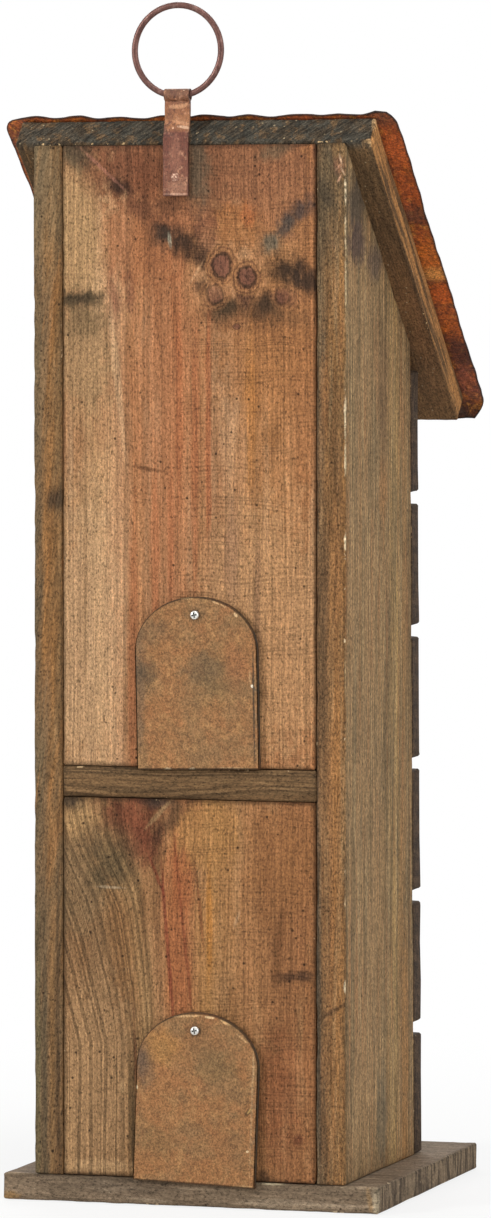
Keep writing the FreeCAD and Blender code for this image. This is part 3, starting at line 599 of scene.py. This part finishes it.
def rubbed(mesh, wear, seed):
    """Wears the arrises unevenly, and marks them for the finish."""
    arris = mesh.verts.layers.float.new("arris")
    mesh.normal_update()
    sharp = [v for v in mesh.verts if any(e.calc_face_angle(0) > radians(25) for e in v.link_edges)]
    moves = []
    for v in sharp:
        v[arris] = 1
        fine = noise.noise(Vector((seed, 3.7, 9.1)) + v.co * 160)
        long = noise.noise(Vector((seed, 1.3, 5.9)) + v.co * 38)
        depth = max(0, 0.35 + 0.5 * fine + 0.45 * long)
        moves.append((v, v.normal * (wear * MM * depth ** 1.6)))
    for v, move in moves:
        v.co -= move
    smoothed(mesh, 28)


def steps(low, high, step):
    """Evenly spaced places between two ends, without the ends."""
    count = max(1, round((high - low) / step))
    return [low + (high - low) * i / count for i in range(1, count)]


def worn_board(node, along, finish, seed, wear, turn=0):
    """A board of the frame, its arrises worn unevenly."""
    step, rim, coarse = 3 * MM, 2.4 * MM, 18 * MM
    mesh = own_mesh(node)
    own = Matrix.Rotation(turn, 4, "X")
    mesh.transform(own.inverted())
    corners = [[min(v.co[a] for v in mesh.verts), max(v.co[a] for v in mesh.verts)] for a in (X, Y, Z)]
    for axis in (X, Y, Z):
        low, high = corners[axis]
        if axis == along:
            cut_across(mesh, axis, steps(low, high, step))
        else:
            cut_across(mesh, axis, [low + rim] + steps(low, high, coarse) + [high - rim])
    rubbed(mesh, wear, seed)
    mesh.transform(own)
    piece(node + "_worn", mesh, finish, "house", node)


def stood(name, data):
    """An object of the scene with these data."""
    made = bpy.data.objects.new(name, data)
    bpy.context.scene.collection.objects.link(made)
    return made


def whole_mesh(mesh, name):
    """The data of a finished mesh."""
    data = bpy.data.meshes.new(name)
    mesh.to_mesh(data)
    mesh.free()
    return data


def piece(name, mesh, material, body, node):
    """A finished mesh as a piece that rides on its body and stands for its CAD node."""
    made = stood(name, whole_mesh(mesh, name))
    made.data.materials.append(material)
    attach(made, body)
    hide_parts(node)


def boards():
    worn_board("back_panel_upper", Z, upper_back_finish(), 2, 0.5)
    worn_board("back_panel_lower", Z, lower_back_finish(), 3, 0.5)
    worn_board("side_panel_left", Z, grey_side_finish(), 4, 0.8)
    worn_board("side_panel_right", Z, brown_side_finish(), 5, 0.8)
    worn_board("divider_shelf", X, shelf_finish(), 6, 0.5)
    worn_board("base_board", X, base_finish(), 7, 1)
    worn_board("roof_board", X, roof_finish(), 8, 0.8, ROOF_PITCH)
    plank = plank_finish()
    for number in range(1, 7):
        worn_board(f"front_plank_{number}", X, plank, 10 + number, 1.2, -FRONT_LEAN)


# Metal and small pieces, built in millimetres in their own frames

def at(place, degrees, axis):
    """A frame at a place, turned about one axis."""
    return Matrix.Translation(place) @ Matrix.Rotation(radians(degrees), 4, axis)


def in_frame(mesh, frame_matrix):
    """Brings a piece from its own frame in millimetres to the house in metres."""
    mesh.transform(Matrix.Scale(MM, 4) @ frame_matrix)
    bmesh.ops.remove_doubles(mesh, verts=mesh.verts, dist=0.002 * MM)
    bmesh.ops.recalc_face_normals(mesh, faces=mesh.faces)
    smoothed(mesh, 35)


SHEET_HALF = 94.3
SHEET_REAR = 2.6
SHEET_FRONT = 209.5
SHEET_UNDER = 15
SHEET_ROLL = 6.5
SHEET_SKIN = 0.8
SHEET_ROLL_TURN = radians(80)


def hammered(x, y):
    """Height of the hammered sheet: shallow bowls between soft ridges, and fine wrinkles."""
    bend = noise.noise_vector(Vector((x, y, 4)) * 0.06)
    near, _ = noise.voronoi(Vector((x / 10.5, y / 10.5, 0.3)) + bend * 0.5)
    bowl = min(1, near[0] ** 2 * 1.9)
    wrinkle = 0.5 + 0.5 * noise.noise(Vector((x, y, 7)) * 0.16)
    return 0.62 * bowl + 0.28 * wrinkle


def sheet_place(across, travelled, flat):
    """A point of the sheet: flat on the roof, then rolled down over the front edge."""
    corner_radius, side_wave, rear_wave, rear_fade = 9, 82, 21, 20
    bend = max(0, travelled - flat) / SHEET_ROLL
    plan = SHEET_REAR + SHEET_FRONT - (min(travelled, flat) + SHEET_ROLL * sin(bend))
    corner = max(0, corner_radius - min(travelled, max(plan, 0)))
    half = SHEET_HALF - corner_radius + sqrt(corner_radius ** 2 - corner ** 2)
    wave = sin(tau * travelled / side_wave + across)
    nibble = 0.5 * noise.noise(Vector((travelled * 0.11, across * 2, 1.7)))
    x = across * half + across * abs(across) * (0.2 * wave + 0.8 * nibble + 0.25)
    rear = 1.6 * noise.noise(Vector((x * 0.06, 0.4, 2.2))) + 0.8 * sin(tau * x / rear_wave)
    rear += 1.7 - 1.7 * max(0, (-x - 40) / 55) - 0.7 * max(0, (x - 40) / 55)
    y = SHEET_REAR - min(travelled, flat) - rear * max(0, 1 - travelled / rear_fade)
    z = SHEET_UNDER + hammered(x, travelled) - SHEET_ROLL
    return Vector((x, y - SHEET_ROLL * sin(bend), z + SHEET_ROLL * cos(bend)))


def roof_sheet(material):
    """The thin hammered sheet, its corners round and its front edge rolled down."""
    flat = SHEET_REAR + SHEET_FRONT - SHEET_ROLL - SHEET_SKIN
    total = flat + SHEET_ROLL * SHEET_ROLL_TURN
    mesh = bmesh.new()
    bmesh.ops.create_grid(mesh, x_segments=124, y_segments=142, size=1)
    for v in mesh.verts:
        v.co = sheet_place(v.co.x, (1 - v.co.y) / 2 * total, flat)
    rim = mesh.verts.layers.float.new("arris")
    for v in mesh.verts:
        v[rim] = 1 if v.is_boundary else 0
    bmesh.ops.recalc_face_normals(mesh, faces=mesh.faces)
    if sum(face.normal.z for face in mesh.faces) < 0:
        bmesh.ops.reverse_faces(mesh, faces=mesh.faces)
    bmesh.ops.solidify(mesh, geom=mesh.faces[:], thickness=-SHEET_SKIN)
    in_frame(mesh, ON_ROOF)
    piece("roof_sheet_hammered", mesh, material, "house", "roof_sheet")


def skirted(mesh, axis, level):
    """Draws the open border out to a level and closes it there."""
    border = [edge for edge in mesh.edges if edge.is_boundary]
    for part in bmesh.ops.extrude_edge_only(mesh, edges=border)["geom"]:
        if isinstance(part, bmesh.types.BMVert):
            part.co[axis] = level
    bmesh.ops.contextual_create(mesh, geom=[edge for edge in mesh.edges if edge.is_boundary])


def dome(radius, height, rim, sides=32, rings=7):
    """A low domed head standing on its rim, facing +Z."""
    mesh = bmesh.new()
    bmesh.ops.create_uvsphere(mesh, u_segments=sides, v_segments=2 * rings, radius=1)
    below = [v for v in mesh.verts if v.co.z < -0.02]
    bmesh.ops.delete(mesh, geom=below, context="VERTS")
    for v in mesh.verts:
        v.co = Vector((v.co.x * radius, v.co.y * radius, rim + v.co.z * (height - rim)))
    skirted(mesh, Z, 0)
    return mesh


def cover(node, screw_height, offset, turn, material, body):
    """A thin arched cover with rubbed edges, a little askew on its screw."""
    half, rise, screw_drop, height, thick, clearance = 29.4, 25, 8.4, 79.5, 3, 0.3
    mesh = bmesh.new()
    bmesh.ops.create_grid(mesh, x_segments=60, y_segments=60, size=1)
    for v in mesh.verts:
        u = sin(pi / 2 * v.co.x)
        top = screw_drop - rise + rise * sqrt(max(0, 1 - u * u))
        foot = screw_drop - height
        v.co = Vector((u * half - offset, 0, foot + (v.co.y + 1) / 2 * (top - foot)))
    bmesh.ops.dissolve_degenerate(mesh, dist=0.001, edges=mesh.edges[:])
    bmesh.ops.recalc_face_normals(mesh, faces=mesh.faces)
    outer = bmesh.ops.extrude_face_region(mesh, geom=mesh.faces[:])["geom"]
    outer = [part for part in outer if isinstance(part, bmesh.types.BMVert)]
    bmesh.ops.translate(mesh, vec=(0, thick, 0), verts=outer)
    bmesh.ops.recalc_face_normals(mesh, faces=mesh.faces)
    arrises = [edge for edge in mesh.edges if edge.calc_face_angle(0) > radians(60)]
    arris = mesh.verts.layers.float.new("arris")
    rim = bmesh.ops.bevel(mesh, geom=arrises, offset=0.45, offset_type="OFFSET", segments=2, profile=0.5,
                          affect="EDGES", material=-1)
    for v in rim["verts"]:
        v[arris] = 1
    in_frame(mesh, at((COVER_SCREW_X, BACK_FACE + clearance, screw_height), turn, "Y"))
    piece(node + "_board", mesh, material, body, node)


def cross_screw(node, height, material):
    """A small pan-head screw with a cross recess."""
    radius, head, brim, under = 2, 1.5, 0.55, 3.45
    slot_half, slot_reach, slot_depth = 0.34, 1.25, 0.8
    mesh = bmesh.new()
    bmesh.ops.create_grid(mesh, x_segments=34, y_segments=34, size=1)
    # The recess is marked here so that its finish darkens it with painted shade
    dirt = mesh.verts.layers.float.new("arris")
    for v in mesh.verts:
        x, z = v.co.x * sqrt(1 - v.co.y ** 2 / 2), v.co.y * sqrt(1 - v.co.x ** 2 / 2)
        far = min(1, hypot(x, z))
        y = brim + (head - brim) * sqrt(max(0, 1 - far ** 2.4))
        if min(abs(x), abs(z)) * radius < slot_half and far * radius < slot_reach:
            y -= slot_depth
            v[dirt] = 1
        v.co = Vector((x * radius, under + y, z * radius))
    skirted(mesh, Y, under)
    in_frame(mesh, at((COVER_SCREW_X, BACK_FACE, height), 12, "Y"))
    piece(node + "_head", mesh, material, "house", node)


def ring(material):
    """The ring of round wire."""
    radius, wire_radius, middle = 20.75, 1.46, (HANGER_X, 83.75, 532.54)
    mesh = bmesh.new()
    bmesh.ops.create_circle(mesh, cap_ends=False, segments=28, radius=wire_radius)
    bmesh.ops.translate(mesh, vec=(radius, 0, 0), verts=mesh.verts)
    for v in mesh.verts:
        v.co = Vector((v.co.x, 0, v.co.y))
    bmesh.ops.spin(mesh, geom=mesh.edges[:] + mesh.verts[:], cent=(0, 0, 0), axis=(0, 0, 1),
                   angle=tau, steps=160, use_merge=True)
    in_frame(mesh, at(middle, 90, "X"))
    piece("hanging_ring_wire", mesh, material, "ring", "hanging_ring")


def strap(material):
    """The folded strap, its long edges softened and a little uneven."""
    mesh = own_mesh("hanging_strap")
    bmesh.ops.recalc_face_normals(mesh, faces=mesh.faces)
    foot, top = 465.8 * MM, 514 * MM
    cut_across(mesh, Z, steps(foot, top, 1.2 * MM))
    cut_across(mesh, X, [place * MM for place in (0.3, 1.6, 3.6, 5.7, 7.8, 9.8, 11.1)])
    rubbed(mesh, 0.28, 31)
    piece("hanging_strap_folded", mesh, material, "house", "hanging_strap")


def strap_nail(material):
    """The domed head of the nail, on both legs of the strap."""
    mesh = dome(2.1, 0.7, 0.2)
    strap_thick, height = 1.6, 474.5
    in_frame(mesh, at((HANGER_X, BACK_FACE + strap_thick, height), -90, "X"))
    piece("strap_nail_head", mesh, material, "house", "strap_nail")


def roof_tacks(material):
    """Domed tack heads in three rows down both sides of the sheet."""
    side_middle, rows, seat = 68.3, (16, 70, 124), 16.7
    whole = bmesh.new()
    for x in (-side_middle - ROOF_MIDDLE, side_middle - ROOF_MIDDLE):
        for row in rows:
            head = dome(2.8, 0.6, 0.15, 24, 5)
            in_frame(head, ON_ROOF @ Matrix.Translation((x, -row, seat)))
            data = whole_mesh(head, "tack")
            whole.from_mesh(data)
            bpy.data.meshes.remove(data)
    piece("roof_tack_heads", whole, material, "house", "roof_tacks")


def rust_finish():
    """Rust on hammered sheet: orange bloom and dark brown scale, grey-brown at the rolled front; the
    bloom down one side is lighter as painted light, with one painted highlight.
    """
    rust = Finish("rusted_hammered_sheet", Y, (60, 10, 20), turn=ROOF_PITCH, reach=14)
    rust.bands((0, 1, 0), [
        (-210, "#453A31"), (-201, "#4E3A2C"), (-194, "#6E3A20"), (-180, "#7E3E1C"), (-100, "#94481D"),
        (-6, "#8A4520"), (-1, "#A65428"), (3, "#A65428"),
    ], drift=4, start=ROOF_REAR)
    rust.clouds(("#5E3220", 0.8, 14, 18, 0.42, 0.62), ("#B0611F", 0.75, 9, 12, 0.46, 0.66),
                ("#D08A3C", 0.6, 4, 5, 0.52, 0.7), ("#472615", 0.6, 4, 7, 0.52, 0.7))
    # Down the sheet's side, from the rear: rust bloom made lighter as painted light on the shaded lip,
    # the pale mark at -110 a painted highlight
    rust.blotches(-92, [
        (0, 9, "#5A341E", 0.7), (-24, 16, "#BE5C24", 0.75), (-50, 13, "#B4561F", 0.7),
        (-68, 6, "#6A3E28", 0.7), (-98, 16, "#C46A22", 0.75), (-110, 6, "#E8A858", 0.5),
        (-124, 10, "#C05C1E", 0.75), (-144, 12, "#BE6226", 0.7), (-166, 10, "#4E281C", 0.8),
        (-188, 12, "#8A4A34", 0.75),
    ])
    rust.fibres(2.6, 2, 0.7, 1.36)
    rust.fibres(1, 1.1, 0.56, 1.5)
    rust.grit(1.6, 1.6, 0.6)
    return rust.chipped("#C8742A", -1, 0.1).done(0.5, 0.7, 0, 0.35)


def ring_finish():
    """Dark purplish brown wire with a dull sheen."""
    wire = Finish("browned_wire")
    wire.colour = "#6C4A42"
    wire.clouds(("#4A302A", 0.6, 2, 6), ("#94746A", 0.5, 1.6, 5, 0.52, 0.68))
    wire.fibres(0.9, 1.2, 0.85, 1.15)
    return wire.done(0.12, 0.38, 0.6, 0.5)


def strap_finish():
    """Browned strip: lighter copper over its bend, partly painted light where it tilts up, with painted
    highlight lines across it; dusty red-brown and scuffed below, with a painted lighter streak down its
    middle.
    """
    strip = Finish("browned_copper_strap", Z, (7, 0, 3))
    # Above the bend the tone turns lighter: partly copper, partly painted light on the part tilted up
    # towards the lamps
    strip.bands((0, 0, 1), [
        (465, "#7E4E38"), (474, "#784935"), (484, "#724331"), (494.5, "#643628"), (496.5, "#93603E"),
        (501, "#9E6A45"), (507, "#8C5839"), (512, "#7A523C"),
    ], drift=0.8)
    strip.clouds(("#BC8A6A", 0.7, 2.4, 2.6, 0.52, 0.68), ("#57322A", 0.7, 3, 5, 0.5, 0.64))
    # The thin pale lines at 497 to 507 are painted highlights across the bend; the tall mark at 484 is a
    # painted lighter streak down the middle
    strip.stains([
        (4.8, 470, 4, 3.6, "#A4775C", 0.5), (5.7, 466.7, 5.5, 0.5, "#D0A388", 0.6),
        (1.5, 497.3, 3.2, 0.6, "#D9B090", 0.8, -8), (3.5, 499.5, 4.5, 0.9, "#C08C66", 0.7, -12),
        (5, 507, 5, 1, "#C8946C", 0.75, 6), (9.6, 503, 1.6, 3, "#7C4D36", 0.6),
        (5.7, 484, 2.6, 9, "#92604A", 0.6),
    ], soft=0.5, grit=(1.6, 1.6))
    strip.fibres(0.9, 1.6, 0.7, 1.3)
    strip.grit(1, 1, 0.55, 0.58, 0.68)
    strip.pinholes(2.6, 0.8, 0.25, "#E0B89A", 0.8)
    return strip.chipped("#C99A7E", 0, 0.6).done(0.3, 0.5, 0.35, 0.5)


def small_metal(name, shift, tone, patches, fibres, surface):
    """A small metal piece's finish: one tone with patches of another, finely grained."""
    metal = Finish(name, Z, shift)
    metal.colour = tone
    metal.clouds(patches)
    metal.fibres(0.8, 0.8, *fibres)
    return metal.done(*surface)


def cover_finish():
    """Brown-stained fibreboard: felted mottle, olive near its edges, cream chips on its arrises."""
    board = Finish("stained_fibreboard_cover", Z, (31, 0, 17))
    board.colour = "#986B43"
    board.clouds(("#836847", 0.6, 18, 22, 0.42, 0.62), ("#A06A42", 0.4, 9, 10, 0.5, 0.66),
                 ("#AE8354", 0.5, 4, 5, 0.5, 0.66))
    board.stains([
        (23, 240, 3, 26, "#6E5A45", 0.6), (21, 247, 6, 5, "#4E4233", 0.6),
        (18, 265, 8, 6, "#6A573F", 0.5, 30), (-14, 245, 9, 12, "#77613F", 0.5),
        (-14, 66, 10, 7, "#77613F", 0.5), (20, 66, 4, 10, "#5E5040", 0.5),
        (14, 30, 9, 7, "#75603F", 0.4), (-9, 249, 9, 7, "#6A5840", 0.6),
        (-23, 251, 5, 10, "#94603E", 0.5), (11, 74, 8, 7, "#A97B44", 0.55),
        (-8, 74, 8, 8, "#7C6040", 0.5), (22, 67, 3, 7, "#5A4A3E", 0.6), (-18, 30, 9, 8, "#8E6440", 0.4),
    ], soft=0.6)
    board.fibres(1.8, 2.2, 0.82, 1.18)
    board.fibres(0.8, 0.9, 0.56, 1.42)
    board.grit(0.9, 1.1, 0.7, 0.58, 0.68)
    # The first two marks are painted shadow round the screw heads
    board.stains([
        (COVER_SCREW_X, UPPER_SCREW, 2.9, 2.9, "#4A3826", 0.7),
        (COVER_SCREW_X, LOWER_SCREW, 2.9, 2.9, "#4A3826", 0.6),
        (-32.4, 232, 0.45, 26, "#3A3026", 0.8, 1), (24.3, 240, 0.4, 32, "#4A3A2C", 0.6, 1),
        (-29.6, 45, 1, 2.4, "#4A3420", 0.8, -40), (-30.6, 46, 0.6, 1.6, "#C9A568", 0.7, -40),
    ], soft=0.4, grit=(1.2, 2.4))
    board.stains([
        (0.3, 281.4, 3.4, 0.5, "#D8AE78", 0.85), (-13.8, 279.6, 2, 0.5, "#D0A676", 0.8, -22),
        (-18, 278, 1.6, 0.5, "#C49A6C", 0.7, -32), (-23.7, 273.9, 1.2, 0.6, "#E0BC8C", 0.85, -45),
        (-31.6, 241.5, 0.65, 0.7, "#F0E4CC", 0.9), (-30.6, 246, 0.6, 3, "#BE9468", 0.6),
        (9, 202.6, 1.8, 0.6, "#E0C49A", 0.85), (-2.7, 202.8, 1.6, 0.6, "#E0C49A", 0.85),
        (-22, 203.6, 8, 0.4, "#BE9A70", 0.6), (0, 88.7, 7, 0.5, "#D0A676", 0.8, 3),
        (-11, 88.4, 2.2, 0.6, "#E2C090", 0.85, -6), (-18.6, 86.2, 2.4, 0.6, "#D8AE78", 0.8, -28),
        (-27, 79, 3.4, 0.5, "#C9A070", 0.7, -40), (-32.2, 66, 0.5, 6, "#B8946A", 0.6),
        (-31.4, 46, 0.5, 30, "#B8946A", 0.45, -2), (22.5, 11.6, 4, 0.5, "#D8AE78", 0.8),
        (-27, 10.8, 5, 0.5, "#C9A070", 0.6), (24.2, 55, 0.6, 0.8, "#E6CFA4", 0.9),
        (-29.3, 27, 0.7, 0.6, "#E6CFA4", 0.7),
    ], soft=0.3, grit=(1, 2))
    # The sawn edge, greyer than the face and darkened with painted shade
    board.stains([
        (-33.5, 240, 2.4, 38, "#6E6252", 0.9), (-32.6, 46, 2.6, 36, "#7C6E58", 0.9),
    ], depth=BACK_FACE + 1.4, soft=0.2, thick=1.6)
    board.pinholes(6, 0.9, 0.25, "#D0A47A", 0.6)
    board.pinholes(8, 0.9, 0.25, "#4A3324", 0.6)
    # Its arrises and sides are darkened hard: painted shade on the sides, partly dirt at the arrises
    return board.chipped("#D8B68C", -0.06, 0.26).done(0.12, 0.8, 0, 0.3)


def zinc_finish():
    """Bright zinc with a faint grain, its cross recess darkened with painted shade."""
    zinc = Finish("bright_zinc_screw")
    zinc.colour = "#E9E8E2"
    zinc.clouds(("#B9B4A8", 0.5, 1, 1))
    zinc.fibres(0.6, 0.6, 0.92, 1.06)
    return zinc.chipped("#E9E8E2", -1, 0.2).done(0.05, 0.28, 0.6, 0.5)


def fittings():
    roof_sheet(rust_finish())
    ring(ring_finish())
    strap(strap_finish())
    # Nail head browned with the strap, bright where it was struck
    strap_nail(small_metal("browned_nail", (3, 3, 3), "#8E6250", ("#D9B59A", 0.8, 1, 1, 0.48, 0.6),
                           (0.8, 1.15), (0.3, 0.45, 0.5, 0.5)))
    board = cover_finish()
    cover("cleanout_cover_upper", UPPER_SCREW, 0, 1.2, board, "cover_upper")
    cover("cleanout_cover_lower", LOWER_SCREW, 1.6, -2, board, "cover_lower")
    zinc = zinc_finish()
    cross_screw("cleanout_screw_upper", UPPER_SCREW, zinc)
    cross_screw("cleanout_screw_lower", LOWER_SCREW, zinc)
    # Rusted tack heads, a little darker than the sheet
    roof_tacks(small_metal("rusted_tack", (9, 3, 1), "#5E3320", ("#A05A28", 0.7, 1.6, 1.6),
                           (0.8, 1.2), (0.3, 0.65, 0.2, 0.4)))
    # Dark oxidised steel of the brads
    brad = small_metal("oxidised_brad", (1, 3, 9), "#3A2E28", ("#5E4A3C", 0.6, 1.5, 3),
                       (0.8, 1.2), (0.2, 0.5, 0.8, 0.5))
    for node in ("front_brads", "base_brads"):
        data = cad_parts[node].data
        data.materials.clear()
        data.materials.append(brad)


# Camera, light and floor

def stand(name, data, place, direction):
    """A camera or lamp in its place, turned to look along a direction."""
    held = stood(name, data)
    held.location = place
    held.rotation_euler = direction.to_track_quat("-Z", "Y").to_euler()
    return held


def photograph_camera():
    camera = bpy.data.cameras.new("photograph_camera")
    camera.lens = 192.06
    camera.sensor_width = 36
    camera.clip_end = 30
    place, direction = Vector((-0.9134, 2.9278, 0.4088)), Vector((0.29732, -0.95375, -0.04435))
    bpy.context.scene.camera = stand("photograph_camera", camera, place, direction)


def soft_box(name, place, aim, size, power):
    lamp = bpy.data.lights.new(name, "AREA")
    lamp.shape = "SQUARE"
    lamp.size = size
    lamp.energy = power
    stand(name, lamp, place, Vector(aim) - Vector(place))


def seen_directly(make):
    """One for what the camera sees, straight, reflected or through glass; else nought."""
    rays = make("ShaderNodeLightPath").node.outputs
    seen = make(*PLUS, Value=[rays["Is Camera Ray"], rays["Is Glossy Ray"]])
    return make(MATH, {"operation": "ADD", "use_clamp": True}, Value=[seen, rays["Is Transmission Ray"]])


def emptied(owner):
    """What adds nodes to a material or world, emptied first."""
    owner.use_nodes = True
    owner.node_tree.nodes.clear()
    return partial(add, owner.node_tree)


def studio():
    """A white room with soft boxes beside the back, overhead and in front."""
    world = bpy.data.worlds.new("white_room")
    bpy.context.scene.world = world
    make = emptied(world)
    room = make("ShaderNodeBackground", Color="#FFFFFF", Strength=0.4)
    white = make("ShaderNodeBackground", Color="#FFFFFF", Strength=1)
    both = make("ShaderNodeMixShader", Fac=seen_directly(make), Shader=[room, white])
    make("ShaderNodeOutputWorld", Surface=both)
    soft_box("left_soft_box", (2.2, 2.1, 1.3), (0, 0.05, 0.28), 0.5, 44)
    soft_box("right_soft_box", (-2.3, 1, 0.9), (0, 0.05, 0.28), 1.6, 22)
    soft_box("overhead_soft_box", (-0.5, 0.7, 2.4), (0, 0.05, 0.1), 1, 14)
    soft_box("front_soft_box", (0.9, -2.4, 1.3), (0, 0, 0.28), 1.4, 34)


def white_floor():
    """A pale floor with the house's shadow, fading to white further out."""
    mesh = bmesh.new()
    bmesh.ops.create_circle(mesh, cap_ends=True, segments=96, radius=6)
    floor = stood("floor", whole_mesh(mesh, "floor"))
    floor.location.z = -0.2 * MM
    material = bpy.data.materials.new("white_studio_floor")
    make = emptied(material)
    far = make(*LENGTH, Vector=make("ShaderNodeTexCoord", out="Object"))
    fade = make(*SMOOTH, Value=far, From_Min=0.15, From_Max=0.7, To_Min=0.78, To_Max=1)
    shown = make(*TIMES, Value=[fade, seen_directly(make)])
    paint = make("ShaderNodeBsdfDiffuse", Color="#F4F4F2")
    glow = make("ShaderNodeEmission", Color="#FFFFFF", Strength=1)
    both = make("ShaderNodeMixShader", Fac=shown, Shader=[paint, glow])
    make("ShaderNodeOutputMaterial", Surface=both)
    floor.data.materials.append(material)


photograph_camera()
studio()
white_floor()
bpy.context.scene.view_settings.view_transform = "Standard"
boards()
fittings()
